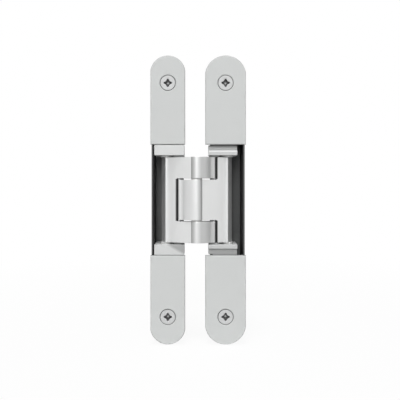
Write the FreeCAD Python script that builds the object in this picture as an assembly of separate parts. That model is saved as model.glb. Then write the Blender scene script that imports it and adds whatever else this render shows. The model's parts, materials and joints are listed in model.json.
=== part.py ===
import FreeCAD, Part
import math
import os

os.makedirs("parts", exist_ok=True)

# Concealed door hinge, shown open at 180 degrees, with both leaves side by side.
# X runs across the hinge, Y into the wood, and Z up along the leaves.
# The origin is the middle of the frame leaf, on the plane its end blocks seat on.
# "Depth" is measured from the front face of the covers, into the wood.
# "Reach" is measured from the mirror line midway between the two leaves.

# Leaves
LEAF_LENGTH = 200.0
FRAME_LEAF_WIDTH = 28.0
DOOR_LEAF_WIDTH = 24.0
LEAF_SPACING = 40.0
COVER_THICKNESS = 3.0
COVER_BEVEL = 0.5
END_RADIUS_EXTRA = 0.2
SEAT_DEPTH = 12.0

# Housing castings
HOUSING_INSET = 0.75
HOUSING_WALL = 1.2
POCKET_FLOOR = 2.0
SCREW_BLOCK = 13.0
RIB = 2.0
CORE_ROUND = 1.2
CORE_FRONT_DEPTH = 5.5
LEDGE_THICKNESS = 3.5
LEDGE_CORE_START = 4.0
SCREW_BOSS_RADIUS = 6.2
CASTING_CORNER = 3.0
POCKET_CORNER = 1.0
SLIDE_CORNER = 2.0
CLAMP_THREAD_DEPTH = 8.0

# Linkage: two equal bent arms that cross at a centre pin
PIVOT_INSET = 7.5
PIVOT_DEPTH = 8.0
SLIDE_SPAN = 9.0
SLIDE_DEPTH = 9.6
DOOR_GAP = 4.0
SWING = 108.0

# Arms
WASHER_GAP = 1.0
END_GAP = 1.2
SPINE_EDGE_SPAN = 1.6
TONGUE_END_SPAN = 0.6
TONGUE_END_ROUND = 1.2
TONGUE_FRONT = 6.2
KNUCKLE_RADIUS = 4.8
CROWN_RADIUS = 13.5
VALLEY_REACH = 3.8
SPINE_BULGE = 0.4
SLIDE_LAND_FRONT = 4.6
SLIDE_LAND_START = 1.7
SLIDE_LAND_END = 0.4
BOSS_RADIUS = 4.4
BOSS_TAIL_RADIUS = 3.2
SLIDE_BOSS_RADIUS = 3.4
ARM_EDGE_ROUND = 0.8
NOTCH_ROUND = 0.7

# Pins and bushes
LINK_PIN_RADIUS = 2.0
CENTRE_PIN_RADIUS = 2.5
BUSH_WALL = 0.6
CENTRE_FLANGE_RADIUS = 3.75
ROLLER_RADIUS = 3.1
ROLLER_FLANGE_RADIUS = 4.0
PIN_CHAMFER = 0.4

# Carriers, which hold the pivot pins and guide the slide rollers
CARRIER_FRONT_DEPTH = 0.3
CARRIER_WALL = 7.0
CARRIER_FOOT = 17.0
CARRIER_STEP = 2.0
FRAME_BLOCK_HEIGHT = 3.4
FRAME_BLOCK_BEVEL = 0.8
FOOT_THICKNESS = 5.0
SLOT_WALL = 1.2
SLOT_LENGTH = 5.6
PIN_HOLD = 5.0
CARRIER_SHOULDER_DEPTH = 13.8
CARRIER_CORNER = 2.8
PAD_RADIUS = 4.0
PAD_HEIGHT = 0.9
SLOT_MIDDLE = 0.66

# Adjusters of the frame side
SIDE_TRAVEL = 3.0
HEIGHT_TRAVEL = 3.0
SLIDE_BLOCK_THICKNESS = 6.3
SLIDE_STEP = 9.2
KEY_WIDTH = 6.0
GUIDE_WIDTH = 9.0
GUIDE_HEIGHT = 1.5
CLAMP_RADIUS = 2.5
CLAMP_HEAD_RADIUS = 4.2
CLAMP_HEAD_HEIGHT = 2.6
CLAMP_HEAD_BEVEL = 0.7
CLAMP_SOCKET_DEPTH = 1.6
CLAMP_SOCKET_ACROSS = 3.0
CLAMP_SHORT = 11.0
CLAMP_LONG = 18.0

# Fixing screws
SCREW_END_DISTANCE = 19.0
SCREW_RADIUS = 3.0
SCREW_NECK_RADIUS = 2.3
SCREW_HEAD_RADIUS = 5.65
SINK_RADIUS = 5.88
SCREW_LENGTH = 50.0
SCREW_TIP = 7.0
SCREW_TIP_RADIUS = 0.4
RECESS_REACH = 3.0
RECESS_WAIST = 1.45
RECESS_DEPTH = 2.6

# Clearances
PRESS_FIT = 0.02
RUNNING_FIT = 0.05
GUIDE_FIT = 0.1
SLIDE_FIT = 0.3
TRAVEL_CLEARANCE = 0.4
WALL_CLEARANCE = 0.65
EDGE_CLEARANCE = 0.6
SADDLE_CLEARANCE = 0.45
SCREW_CLEARANCE = 0.3

# Derived linkage
PIVOT_REACH = LEAF_SPACING / 2 - PIVOT_INSET
SLIDE_REACH = PIVOT_REACH + SLIDE_SPAN
ARM_OUTER_REACH = SLIDE_REACH + SLIDE_BOSS_RADIUS
SPINE_EDGE_REACH = PIVOT_REACH + SPINE_EDGE_SPAN
TONGUE_END_REACH = PIVOT_REACH + TONGUE_END_SPAN
CLOSED_REACH_DEPTH = PIVOT_DEPTH + DOOR_GAP / 2
swing_sin = math.sin(math.radians(SWING))
swing_cos = math.cos(math.radians(SWING))
OPEN_RISE = (CLOSED_REACH_DEPTH / PIVOT_REACH - swing_sin) / swing_cos
CENTRE_DEPTH = PIVOT_DEPTH - PIVOT_REACH * OPEN_RISE
CENTRE_RATIO = (180.0 - 2 * SWING) / SWING
MIRROR_X = -LEAF_SPACING / 2


def turned(reach, depth, about_reach, about_depth, degrees):
    """Point turned about another; positive brings the left side to the front."""
    angle = math.radians(degrees)
    dx = reach - about_reach
    dy = depth - about_depth
    new_reach = about_reach + dx * math.cos(angle) - dy * math.sin(angle)
    new_depth = about_depth + dx * math.sin(angle) + dy * math.cos(angle)
    return new_reach, new_depth


def slide_centre(swing):
    """Where the door arm's slide pin stands in the frame leaf at this swing."""
    centre = turned(0.0, CENTRE_DEPTH, PIVOT_REACH, PIVOT_DEPTH, swing)
    shift_reach = centre[0]
    shift_depth = centre[1] - CENTRE_DEPTH
    arm_turn = swing * (1 + CENTRE_RATIO)
    reach, depth = turned(SLIDE_REACH, SLIDE_DEPTH, 0.0, CENTRE_DEPTH, arm_turn)
    return reach + shift_reach, depth + shift_depth


# Derived depths
SLIDE_CLOSED_DEPTH = slide_centre(SWING)[1]
CARRIER_BACK_DEPTH = SLIDE_CLOSED_DEPTH + ROLLER_RADIUS + GUIDE_FIT + SLOT_WALL
POCKET_DEPTH = CARRIER_BACK_DEPTH + 1.0
HOUSING_DEPTH = POCKET_DEPTH + POCKET_FLOOR
BAND_DEPTH = COVER_THICKNESS + 1.0
FOOT_FRONT_DEPTH = BAND_DEPTH + CLAMP_HEAD_HEIGHT + TRAVEL_CLEARANCE
FOOT_BACK_DEPTH = FOOT_FRONT_DEPTH + FOOT_THICKNESS
LEDGE_DEPTH = FOOT_BACK_DEPTH + SLIDE_BLOCK_THICKNESS

# Derived heights, from the ends toward the middle
SCREW_Z = LEAF_LENGTH / 2 - SCREW_END_DISTANCE
CAVITY_HALF = SCREW_Z - SCREW_BLOCK
DEEP_HALF = CAVITY_HALF + RIB
SLIDE_BLOCK_TOP = CAVITY_HALF - TRAVEL_CLEARANCE
SLIDE_STEP_Z = SLIDE_BLOCK_TOP - SLIDE_STEP
SIDE_CLAMP_Z = SLIDE_BLOCK_TOP - SLIDE_STEP / 2
CARRIER_FOOT_TOP = SLIDE_STEP_Z - HEIGHT_TRAVEL - TRAVEL_CLEARANCE
KEY_Z = CARRIER_FOOT_TOP
HEIGHT_CLAMP_Z = CARRIER_FOOT_TOP - 3 * CLAMP_RADIUS
CARRIER_WALL_TOP = CARRIER_FOOT_TOP - CARRIER_FOOT
CARRIER_BAND_TOP = CARRIER_WALL_TOP + CARRIER_STEP
OPEN_SIDE_HALF = CARRIER_WALL_TOP + 2 * CARRIER_STEP
DOOR_CLAMP_Z = CARRIER_WALL_TOP + 4 * CARRIER_STEP
CARRIER_FACE = CARRIER_WALL_TOP - CARRIER_WALL
FRAME_BLOCK_TOP = CARRIER_FACE + FRAME_BLOCK_HEIGHT
DOOR_BLOCK_TOP = CARRIER_WALL_TOP + GUIDE_FIT
COVER_OPENING = 2 * (DOOR_BLOCK_TOP + SLIDE_FIT)
SLOT_BOTTOM = CARRIER_FACE + SLOT_LENGTH
PIN_END = CARRIER_FACE + PIN_HOLD
ARM_HALF_HEIGHT = CARRIER_FACE - END_GAP
TONGUE_HALF = ARM_HALF_HEIGHT / 2 - 0.9 * WASHER_GAP
BUSH_LENGTH = TONGUE_HALF * 4 / 7

# Derived widths
FRAME_INSIDE = FRAME_LEAF_WIDTH / 2 - HOUSING_INSET - HOUSING_WALL
DOOR_INSIDE = DOOR_LEAF_WIDTH / 2 - HOUSING_INSET - HOUSING_WALL
FRAME_CARRIER_OUTER = FRAME_INSIDE - SIDE_TRAVEL - WALL_CLEARANCE - 0.2
FRAME_CARRIER_INNER = HOUSING_INSET * 3 - FRAME_LEAF_WIDTH / 2
FOOT_INNER = SIDE_TRAVEL + WALL_CLEARANCE - 0.2 - FRAME_INSIDE
DOOR_CARRIER_OUTER = DOOR_INSIDE - WALL_CLEARANCE
DOOR_CARRIER_INNER = EDGE_CLEARANCE - DOOR_LEAF_WIDTH / 2
CLAMP_X = (FOOT_INNER + FRAME_CARRIER_OUTER) / 2
FRAME_OPEN_X = (FRAME_CARRIER_INNER + FOOT_INNER) / 2
DOOR_OPEN_X = (DOOR_CARRIER_INNER - DOOR_CARRIER_OUTER) / 2
SCREW_LIP = SINK_RADIUS - SCREW_HEAD_RADIUS - PRESS_FIT


def y_of(depth):
    """Y of a point at this depth behind the front face."""
    return depth - SEAT_DEPTH


def x_of(reach):
    """X of a point at this reach to the right of the mirror line."""
    return MIRROR_X + reach


def block(x0, x1, depth0, depth1, z0, z1):
    """Box between two corners, with depths in place of Y."""
    corner = FreeCAD.Vector(x0, y_of(depth0), z0)
    return Part.makeBox(x1 - x0, depth1 - depth0, z1 - z0, corner)


def rod(radius, x, depth, z0, z1):
    """Round bar along Z."""
    base = FreeCAD.Vector(x, y_of(depth), z0)
    return Part.makeCylinder(radius, z1 - z0, base, FreeCAD.Vector(0, 0, 1))


def bore(radius, x, z, depth0, depth1):
    """Round bar along Y."""
    base = FreeCAD.Vector(x, y_of(depth0), z)
    return Part.makeCylinder(radius, depth1 - depth0, base, FreeCAD.Vector(0, 1, 0))


def cone(radius0, radius1, x, z, depth0, depth1):
    """Round taper along Y."""
    base = FreeCAD.Vector(x, y_of(depth0), z)
    return Part.makeCone(radius0, radius1, depth1 - depth0, base, FreeCAD.Vector(0, 1, 0))


def rounded_wire(corners, radii):
    """Closed wire through the corners, each rounded by its own radius."""
    edges = []
    count = len(corners)
    starts = []
    for index, corner in enumerate(corners):
        before = corners[index - 1] - corner
        after = corners[(index + 1) % count] - corner
        before.normalize()
        after.normalize()
        radius = radii[index]
        half = before.getAngle(after) / 2
        if radius == 0 or abs(half - math.pi / 2) < 1e-6:
            starts.append((corner, corner, None))
            continue
        run = radius / math.tan(half)
        middle = (before + after).normalize()
        centre = corner + middle * (radius / math.sin(half))
        starts.append((corner + before * run, corner + after * run, centre - middle * radius))
    for index, (arc_start, arc_end, arc_middle) in enumerate(starts):
        if arc_middle is not None:
            edges.append(Part.Arc(arc_start, arc_middle, arc_end).toShape())
        next_start = starts[(index + 1) % count][0]
        if (next_start - arc_end).Length > 1e-6:
            edges.append(Part.makeLine(arc_end, next_start))
    return Part.Wire(edges)


def upright(points, radii, z0, z1):
    """Outline of (x, depth) points, extruded along Z."""
    corners = [FreeCAD.Vector(x, y_of(depth), z0) for x, depth in points]
    face = Part.Face(rounded_wire(corners, radii))
    return face.extrude(FreeCAD.Vector(0, 0, z1 - z0))


def inward(points, radii, depth0, depth1):
    """Outline of (x, z) points, extruded along Y."""
    corners = [FreeCAD.Vector(x, y_of(depth0), z) for x, z in points]
    face = Part.Face(rounded_wire(corners, radii))
    return face.extrude(FreeCAD.Vector(0, depth1 - depth0, 0))


def box_outline(x0, x1, z0, z1):
    """Four corners of a rectangle."""
    return [(x0, z0), (x1, z0), (x1, z1), (x0, z1)]


def edges_through(shape, point):
    """Edges that pass through a point."""
    target = Part.Vertex(point)
    return [edge for edge in shape.Edges if edge.distToShape(target)[0] < 1e-6]


def to_door_side(shape):
    """Same piece on the other side of the mirror line."""
    return shape.mirror(FreeCAD.Vector(MIRROR_X, 0, 0), FreeCAD.Vector(1, 0, 0))


def to_lower_end(shape):
    """Same piece at the lower end."""
    return shape.mirror(FreeCAD.Vector(0, 0, 0), FreeCAD.Vector(0, 0, 1))


def joined(shapes):
    """One solid from pieces that overlap."""
    return shapes[0].fuse(shapes[1:]).removeSplitter()


def save(name, shape):
    """Write one node."""
    shape.exportStep("parts/" + name + ".step")


# Leaf outline: a long plate with nearly half-round ends

def end_outline(half_width, inner_z, inset):
    """Face of one end of a leaf, from its inner edge to its round end."""
    half = half_width - inset
    radius = half_width + END_RADIUS_EXTRA - inset
    centre_z = LEAF_LENGTH / 2 - half_width - END_RADIUS_EXTRA
    shoulder_z = centre_z + math.sqrt(radius ** 2 - half ** 2)
    left_low = FreeCAD.Vector(-half, 0, inner_z)
    left_high = FreeCAD.Vector(-half, 0, shoulder_z)
    top = FreeCAD.Vector(0, 0, centre_z + radius)
    right_high = FreeCAD.Vector(half, 0, shoulder_z)
    right_low = FreeCAD.Vector(half, 0, inner_z)
    edges = [
        Part.makeLine(left_low, left_high),
        Part.Arc(left_high, top, right_high).toShape(),
        Part.makeLine(right_high, right_low),
        Part.makeLine(right_low, left_low),
    ]
    return Part.Face(Part.Wire(edges))


def end_plate(half_width, inner_z, inset, depth0, depth1):
    """Solid of the leaf end between two depths."""
    face = end_outline(half_width, inner_z, inset)
    face.translate(FreeCAD.Vector(0, y_of(depth0), 0))
    return face.extrude(FreeCAD.Vector(0, depth1 - depth0, 0))


def cover(half_width):
    """Cover plate of the upper end, bevelled around the front, with a sunk screw hole."""
    inner_z = COVER_OPENING / 2
    slab = end_plate(half_width, inner_z, 0.0, COVER_BEVEL, COVER_THICKNESS)
    front = end_outline(half_width, inner_z + COVER_BEVEL, COVER_BEVEL)
    front.translate(FreeCAD.Vector(0, y_of(0.0), 0))
    full = end_outline(half_width, inner_z, 0.0)
    full.translate(FreeCAD.Vector(0, y_of(COVER_BEVEL), 0))
    bevel = Part.makeLoft([front.OuterWire, full.OuterWire], True, True)
    plate = joined([slab, bevel])
    sink_depth = SINK_RADIUS - SCREW_RADIUS - SCREW_CLEARANCE
    sink = cone(SINK_RADIUS, SCREW_RADIUS + SCREW_CLEARANCE, 0, SCREW_Z, 0.0, sink_depth)
    hole = bore(SCREW_RADIUS + SCREW_CLEARANCE, 0, SCREW_Z, 0.0, COVER_THICKNESS)
    return plate.cut([sink, hole])


# Housing casting with a deep pocket in the middle and an end block beyond it

def end_block_cores(half_width):
    """Cored hollows in the back of one end block, either side of a middle rib."""
    outer = half_width - HOUSING_INSET - 2 * HOUSING_WALL
    inner_z = DEEP_HALF + RIB
    outer_z = LEAF_LENGTH / 2 - half_width + 1.0
    cores = []
    for side in (-1, 1):
        x0, x1 = sorted((side * RIB / 2, side * outer))
        outline = box_outline(x0, x1, inner_z, outer_z)
        core = inward(outline, [CORE_ROUND] * 4, CORE_FRONT_DEPTH, SEAT_DEPTH)
        boss = bore(SCREW_BOSS_RADIUS, 0, SCREW_Z, COVER_THICKNESS, SEAT_DEPTH)
        cores.append(core.cut(boss))
    return cores


def ledge_cores(half_width):
    """Cored hollows in the back of the ledge that carries the adjusters."""
    outer = half_width - HOUSING_INSET - 2 * HOUSING_WALL
    cores = []
    for side in (-1, 1):
        x0, x1 = sorted((side * LEDGE_CORE_START, side * outer))
        outline = box_outline(x0, x1, OPEN_SIDE_HALF + RIB, CAVITY_HALF)
        cores.append(inward(outline, [CORE_ROUND] * 4, LEDGE_DEPTH + LEDGE_THICKNESS, HOUSING_DEPTH))
    return cores


def housing(half_width, open_x, clamp_x, clamp_z):
    """Whole casting of a leaf, symmetrical end for end, with its inner side toward -X."""
    half = half_width - HOUSING_INSET
    inside = half - HOUSING_WALL
    opening = COVER_OPENING / 2
    upper = end_plate(half_width, 0.0, HOUSING_INSET, COVER_THICKNESS, SEAT_DEPTH)
    deep_outline = box_outline(-half, half, -DEEP_HALF, DEEP_HALF)
    deep = inward(deep_outline, [CASTING_CORNER] * 4, COVER_THICKNESS, HOUSING_DEPTH)
    rim = block(inside, half, CARRIER_FRONT_DEPTH, COVER_THICKNESS + 1, -opening + 0.2, opening - 0.2)
    body = joined([upper, to_lower_end(upper), deep, rim])
    tools = []
    pocket = box_outline(-inside, inside, -OPEN_SIDE_HALF, OPEN_SIDE_HALF)
    tools.append(inward(pocket, [POCKET_CORNER] * 4, CARRIER_FRONT_DEPTH, POCKET_DEPTH))
    shelf = box_outline(-inside, inside, -CAVITY_HALF, CAVITY_HALF)
    tools.append(inward(shelf, [SLIDE_CORNER] * 4, CARRIER_FRONT_DEPTH, LEDGE_DEPTH))
    open_heights = (-OPEN_SIDE_HALF, OPEN_SIDE_HALF)
    tools.append(block(-half - 1, -inside + 1, 0, POCKET_DEPTH, *open_heights))
    tools.append(block(-half - 1, open_x, POCKET_DEPTH - 1, HOUSING_DEPTH + 1, *open_heights))
    hole = bore(SCREW_RADIUS + SCREW_CLEARANCE, 0, SCREW_Z, COVER_THICKNESS, SEAT_DEPTH)
    thread_depths = (LEDGE_DEPTH, LEDGE_DEPTH + CLAMP_THREAD_DEPTH)
    thread = bore(CLAMP_RADIUS + PRESS_FIT, clamp_x, clamp_z, *thread_depths)
    for tool in [hole, thread] + end_block_cores(half_width) + ledge_cores(half_width):
        tools.append(tool)
        tools.append(to_lower_end(tool))
    return body.cut(tools).removeSplitter()


# Fixing screw with a cross recess

def recess_star(reach, waist, x, z, depth):
    """Four-pointed outline of the cross recess at one depth."""
    points = []
    for step in range(8):
        angle = step * math.pi / 4
        radius = reach if step % 2 == 0 else waist
        px = x + radius * math.sin(angle)
        pz = z + radius * math.cos(angle)
        points.append(FreeCAD.Vector(px, y_of(depth), pz))
    return Part.makePolygon(points + points[:1])


def fixing_screw():
    """Countersunk wood screw in the upper screw hole."""
    neck_start = SCREW_LIP + SCREW_HEAD_RADIUS - SCREW_NECK_RADIUS
    thread_start = SEAT_DEPTH + 0.5
    top = SCREW_LIP
    lip = bore(SCREW_HEAD_RADIUS, 0, SCREW_Z, top / 2, top)
    head = cone(SCREW_HEAD_RADIUS, SCREW_NECK_RADIUS, 0, SCREW_Z, top, neck_start)
    tip_start = SCREW_LENGTH - SCREW_TIP
    neck = bore(SCREW_NECK_RADIUS, 0, SCREW_Z, neck_start - 1, thread_start + 1)
    thread = bore(SCREW_RADIUS, 0, SCREW_Z, thread_start, tip_start)
    tip = cone(SCREW_RADIUS, SCREW_TIP_RADIUS, 0, SCREW_Z, tip_start, SCREW_LENGTH)
    wide = recess_star(RECESS_REACH, RECESS_WAIST, 0, SCREW_Z, 0.0)
    narrow = recess_star(RECESS_REACH * 0.55, RECESS_WAIST * 0.6, 0, SCREW_Z, top + RECESS_DEPTH)
    recess = Part.makeLoft([wide, narrow], True)
    return joined([lip, head, neck, thread, tip]).cut(recess)


# Guide slots

def slot_point(swing, angle, z):
    """Point on the slot's outline, at this angle from the path's direction."""
    before = slide_centre(swing - 0.5)
    after = slide_centre(swing + 0.5)
    heading = math.atan2(after[1] - before[1], after[0] - before[0])
    radius = ROLLER_RADIUS + GUIDE_FIT
    reach, depth = slide_centre(swing)
    turn = heading + math.radians(angle)
    px = x_of(reach + radius * math.cos(turn))
    py = y_of(depth + radius * math.sin(turn))
    return FreeCAD.Vector(px, py, z)


def guide_slot(z0, z1):
    """Curved slot along the path of the slide roller, which is very nearly an arc."""
    middle = SWING * SLOT_MIDDLE
    start_left = slot_point(0.0, 90, z0)
    start_right = slot_point(0.0, -90, z0)
    end_left = slot_point(SWING, 90, z0)
    end_right = slot_point(SWING, -90, z0)
    edges = [
        Part.Arc(start_left, slot_point(middle, 90, z0), end_left).toShape(),
        Part.Arc(end_left, slot_point(SWING, 0, z0), end_right).toShape(),
        Part.Arc(end_right, slot_point(middle, -90, z0), start_right).toShape(),
        Part.Arc(start_right, slot_point(0.0, 180, z0), start_left).toShape(),
    ]
    return Part.Face(Part.Wire(edges)).extrude(FreeCAD.Vector(0, 0, z1 - z0))


# Arms

def spine_half():
    """Half of an arm from the centre pin to its slide end, over the full height."""
    half = ARM_HALF_HEIGHT
    valley_depth = CENTRE_DEPTH - math.sqrt(KNUCKLE_RADIUS ** 2 - VALLEY_REACH ** 2)
    land_depth = SLIDE_DEPTH - SLIDE_LAND_FRONT
    land_start = SLIDE_REACH - SLIDE_LAND_START

    def point(reach, depth):
        return FreeCAD.Vector(x_of(reach), y_of(depth), -half)

    middle_reach = (VALLEY_REACH + land_start) / 2
    middle_depth = (valley_depth + land_depth) / 2 - SPINE_BULGE
    valley = point(VALLEY_REACH, valley_depth)
    land = point(land_start, land_depth)
    bevel = point(SLIDE_REACH + SLIDE_LAND_END, land_depth)
    corners = [
        point(ARM_OUTER_REACH, SLIDE_DEPTH),
        point(SLIDE_REACH, SLIDE_DEPTH + 1),
        point(PIVOT_REACH + BOSS_TAIL_RADIUS + 1.2, PIVOT_DEPTH + 0.6),
        point(PIVOT_REACH - BOSS_TAIL_RADIUS, PIVOT_DEPTH - 1.1),
        point(0.0, CENTRE_DEPTH + KNUCKLE_RADIUS - 0.1),
        point(0.0, CENTRE_DEPTH),
    ]
    edges = [Part.Arc(valley, point(middle_reach, middle_depth), land).toShape()]
    outline = [land, bevel] + corners + [valley]
    for index in range(len(outline) - 1):
        edges.append(Part.makeLine(outline[index], outline[index + 1]))
    body = Part.Face(Part.Wire(edges)).extrude(FreeCAD.Vector(0, 0, 2 * half))
    ridge = edges_through(body, bevel + FreeCAD.Vector(0, 0, half))
    body = body.makeFillet(ARM_EDGE_ROUND, ridge)
    boss = rod(SLIDE_BOSS_RADIUS, x_of(SLIDE_REACH), SLIDE_DEPTH, -half, half)
    behind = (SLIDE_DEPTH, SLIDE_DEPTH + 2 * SLIDE_BOSS_RADIUS, -half, half)
    boss = boss.common(block(x_of(PIVOT_REACH), x_of(2 * SLIDE_REACH), *behind))
    return joined([body, boss])


def tongue_front():
    """Front of a tongue: crown, hollow curve down to the pivot, and a rounded end."""
    low = -ARM_HALF_HEIGHT
    crown_top = CENTRE_DEPTH - KNUCKLE_RADIUS
    land_depth = PIVOT_DEPTH - TONGUE_FRONT
    land_reach = TONGUE_END_REACH - TONGUE_END_ROUND
    steepest = 2 * math.atan((land_depth - crown_top) / land_reach)
    hollow_radius = land_reach / math.sin(steepest) - CROWN_RADIUS

    def point(reach, depth):
        return FreeCAD.Vector(x_of(-reach), y_of(depth), low)

    def on_crown(angle):
        return point(CROWN_RADIUS * math.sin(angle), crown_top + CROWN_RADIUS * (1 - math.cos(angle)))

    def on_hollow(angle):
        reach = land_reach - hollow_radius * math.sin(angle)
        return point(reach, land_depth - hollow_radius * (1 - math.cos(angle)))

    def on_end(angle):
        reach = land_reach + TONGUE_END_ROUND * math.sin(angle)
        return point(reach, land_depth + TONGUE_END_ROUND * (1 - math.cos(angle)))

    end = on_end(math.pi / 2)
    back = point(TONGUE_END_REACH, PIVOT_DEPTH + 1)
    middle = point(0.0, CENTRE_DEPTH)
    edges = [
        Part.makeLine(middle, on_crown(0.0)),
        Part.Arc(on_crown(0.0), on_crown(steepest / 2), on_crown(steepest)).toShape(),
        Part.Arc(on_crown(steepest), on_hollow(steepest / 2), on_hollow(0.0)).toShape(),
        Part.Arc(on_hollow(0.0), on_end(math.pi / 4), end).toShape(),
        Part.makeLine(end, back),
        Part.makeLine(back, middle),
    ]
    return Part.Face(Part.Wire(edges)).extrude(FreeCAD.Vector(0, 0, 2 * ARM_HALF_HEIGHT))


def tongue_half():
    """Half of an arm from the centre pin to its pivot, over the full height."""
    half = ARM_HALF_HEIGHT
    slope = math.hypot(1.0, OPEN_RISE)
    back_x = OPEN_RISE / slope
    back_depth = 1.0 / slope
    web_outline = [
        (x_of(0.0), CENTRE_DEPTH),
        (x_of(-PIVOT_REACH), PIVOT_DEPTH),
        (x_of(-PIVOT_REACH + BOSS_RADIUS * back_x), PIVOT_DEPTH + BOSS_RADIUS * back_depth),
        (x_of(KNUCKLE_RADIUS * back_x), CENTRE_DEPTH + KNUCKLE_RADIUS * back_depth),
    ]
    web = upright(web_outline, [0] * 4, -half, half)
    knuckle = rod(KNUCKLE_RADIUS, x_of(0.0), CENTRE_DEPTH, -half, half)
    behind = (PIVOT_DEPTH, PIVOT_DEPTH + 2 * BOSS_RADIUS, -half, half)
    boss = rod(BOSS_RADIUS, x_of(-PIVOT_REACH), PIVOT_DEPTH, -half, half)
    boss = boss.common(block(x_of(-TONGUE_END_REACH), x_of(0.0), *behind))
    tail = rod(BOSS_TAIL_RADIUS, x_of(-PIVOT_REACH), PIVOT_DEPTH, -half, half)
    return joined([tongue_front(), web, knuckle, boss, tail])


def saddle(radius, z0, z1):
    """Hollow behind an arm's spine for what turns at the other arm's pivot."""
    return rod(radius, x_of(PIVOT_REACH), PIVOT_DEPTH, z0, z1)


def arm_blank():
    """Arm profile over the full height, slide end to the right, before notching."""
    return joined([spine_half(), tongue_half()])


def link_bores(fixed_centre):
    """Bores for the centre pin, the pivot bush and the slide pin."""
    half = ARM_HALF_HEIGHT + 1
    centre_radius = CENTRE_PIN_RADIUS + PRESS_FIT
    if not fixed_centre:
        centre_radius = CENTRE_PIN_RADIUS + RUNNING_FIT + BUSH_WALL + PRESS_FIT
    pivot_radius = LINK_PIN_RADIUS + RUNNING_FIT + BUSH_WALL + PRESS_FIT
    return [
        rod(centre_radius, x_of(0.0), CENTRE_DEPTH, -half, half),
        rod(pivot_radius, x_of(-PIVOT_REACH), PIVOT_DEPTH, -half, half),
        rod(LINK_PIN_RADIUS + PRESS_FIT, x_of(SLIDE_REACH), SLIDE_DEPTH, -half, half),
    ]


def door_arm():
    """Arm with one middle tongue, pivoted on the door side."""
    half = ARM_HALF_HEIGHT
    tall = half + 1
    pin_saddle = saddle(LINK_PIN_RADIUS + SADDLE_CLEARANCE, -tall, tall)
    tail_radius = BOSS_TAIL_RADIUS + SLIDE_FIT
    tools = [pin_saddle] + link_bores(False)
    notch = box_outline(x_of(-2 * PIVOT_REACH), x_of(SPINE_EDGE_REACH), TONGUE_HALF, tall)
    radii = [0, NOTCH_ROUND, 0, 0]
    upper_notch = inward(notch, radii, -PIVOT_REACH, 2 * PIVOT_REACH)
    upper_saddle = saddle(tail_radius, TONGUE_HALF + WASHER_GAP / 2, tall)
    for tool in (upper_notch, upper_saddle):
        tools.append(tool)
        tools.append(to_lower_end(tool))
    return arm_blank().cut(tools).removeSplitter()


def frame_arm():
    """Arm with two outer tongues, pivoted on the frame side; built mirrored."""
    tall = ARM_HALF_HEIGHT + 1
    window = TONGUE_HALF + WASHER_GAP
    outline = box_outline(x_of(-2 * PIVOT_REACH), x_of(SPINE_EDGE_REACH), -window, window)
    rounds = [0, NOTCH_ROUND, NOTCH_ROUND, 0]
    notch = inward(outline, rounds, -PIVOT_REACH, 2 * PIVOT_REACH)
    pin_saddle = saddle(LINK_PIN_RADIUS + SADDLE_CLEARANCE, -tall, tall)
    tail_saddle = saddle(BOSS_TAIL_RADIUS + SLIDE_FIT, -window + 0.5, window - 0.5)
    tools = [notch, pin_saddle, tail_saddle] + link_bores(True)
    return to_door_side(arm_blank().cut(tools).removeSplitter())


# Pins, bushes and rollers, built for the right-hand side

def pin(radius, x, depth, half_length):
    """Plain pin along Z with bevelled ends."""
    body = rod(radius, x, depth, -half_length, half_length)
    rims = [edge for edge in body.Edges if edge.Closed]
    return body.makeChamfer(PIN_CHAMFER, rims)


def bush(inner, outer, x, depth, z0, z1):
    """Plain bush along Z."""
    return rod(outer, x, depth, z0, z1).cut(rod(inner, x, depth, z0 - 1, z1 + 1))


def pivot_bushes(top):
    """Pair of bushes pressed into a pivot bore from the face at this height."""
    inner = LINK_PIN_RADIUS + RUNNING_FIT
    outer = inner + BUSH_WALL
    upper = bush(inner, outer, x_of(-PIVOT_REACH), PIVOT_DEPTH, top - BUSH_LENGTH, top)
    return Part.Compound([upper, to_lower_end(upper)])


def centre_bushes():
    """Flanged bushes in the middle tongue, whose flanges space the two arms."""
    inner = CENTRE_PIN_RADIUS + RUNNING_FIT
    outer = inner + BUSH_WALL
    x = x_of(0.0)
    sleeve = rod(outer, x, CENTRE_DEPTH, TONGUE_HALF - BUSH_LENGTH, TONGUE_HALF)
    flange_top = TONGUE_HALF + WASHER_GAP - RUNNING_FIT
    flange = rod(CENTRE_FLANGE_RADIUS, x, CENTRE_DEPTH, TONGUE_HALF, flange_top)
    hole = rod(inner, x, CENTRE_DEPTH, 0, ARM_HALF_HEIGHT)
    upper = joined([sleeve, flange]).cut(hole)
    return Part.Compound([upper, to_lower_end(upper)])


def slide_rollers():
    """Flanged rollers on the two ends of a slide pin."""
    x = x_of(SLIDE_REACH)
    flange_low = ARM_HALF_HEIGHT + GUIDE_FIT
    flange = rod(ROLLER_FLANGE_RADIUS, x, SLIDE_DEPTH, flange_low, CARRIER_FACE - GUIDE_FIT)
    sleeve = rod(ROLLER_RADIUS, x, SLIDE_DEPTH, flange_low, PIN_END)
    hole = rod(LINK_PIN_RADIUS + RUNNING_FIT, x, SLIDE_DEPTH, 0, PIN_END + 1)
    upper = joined([flange, sleeve]).cut(hole)
    return Part.Compound([upper, to_lower_end(upper)])


# Carriers

def carrier_bores():
    """Pivot pin hole and guide slot of the upper carrier."""
    hole_low = CARRIER_FACE - PAD_HEIGHT - 1
    hole = rod(LINK_PIN_RADIUS + PRESS_FIT, x_of(PIVOT_REACH), PIVOT_DEPTH, hole_low, PIN_END + 0.2)
    return [hole, guide_slot(CARRIER_FACE - 1, SLOT_BOTTOM)]


def pivot_pad():
    """Round thrust pad around the pivot pin, on the face toward the arms."""
    low = CARRIER_FACE - PAD_HEIGHT
    return rod(PAD_RADIUS, x_of(PIVOT_REACH), PIVOT_DEPTH, low, CARRIER_FACE + 1)


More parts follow.
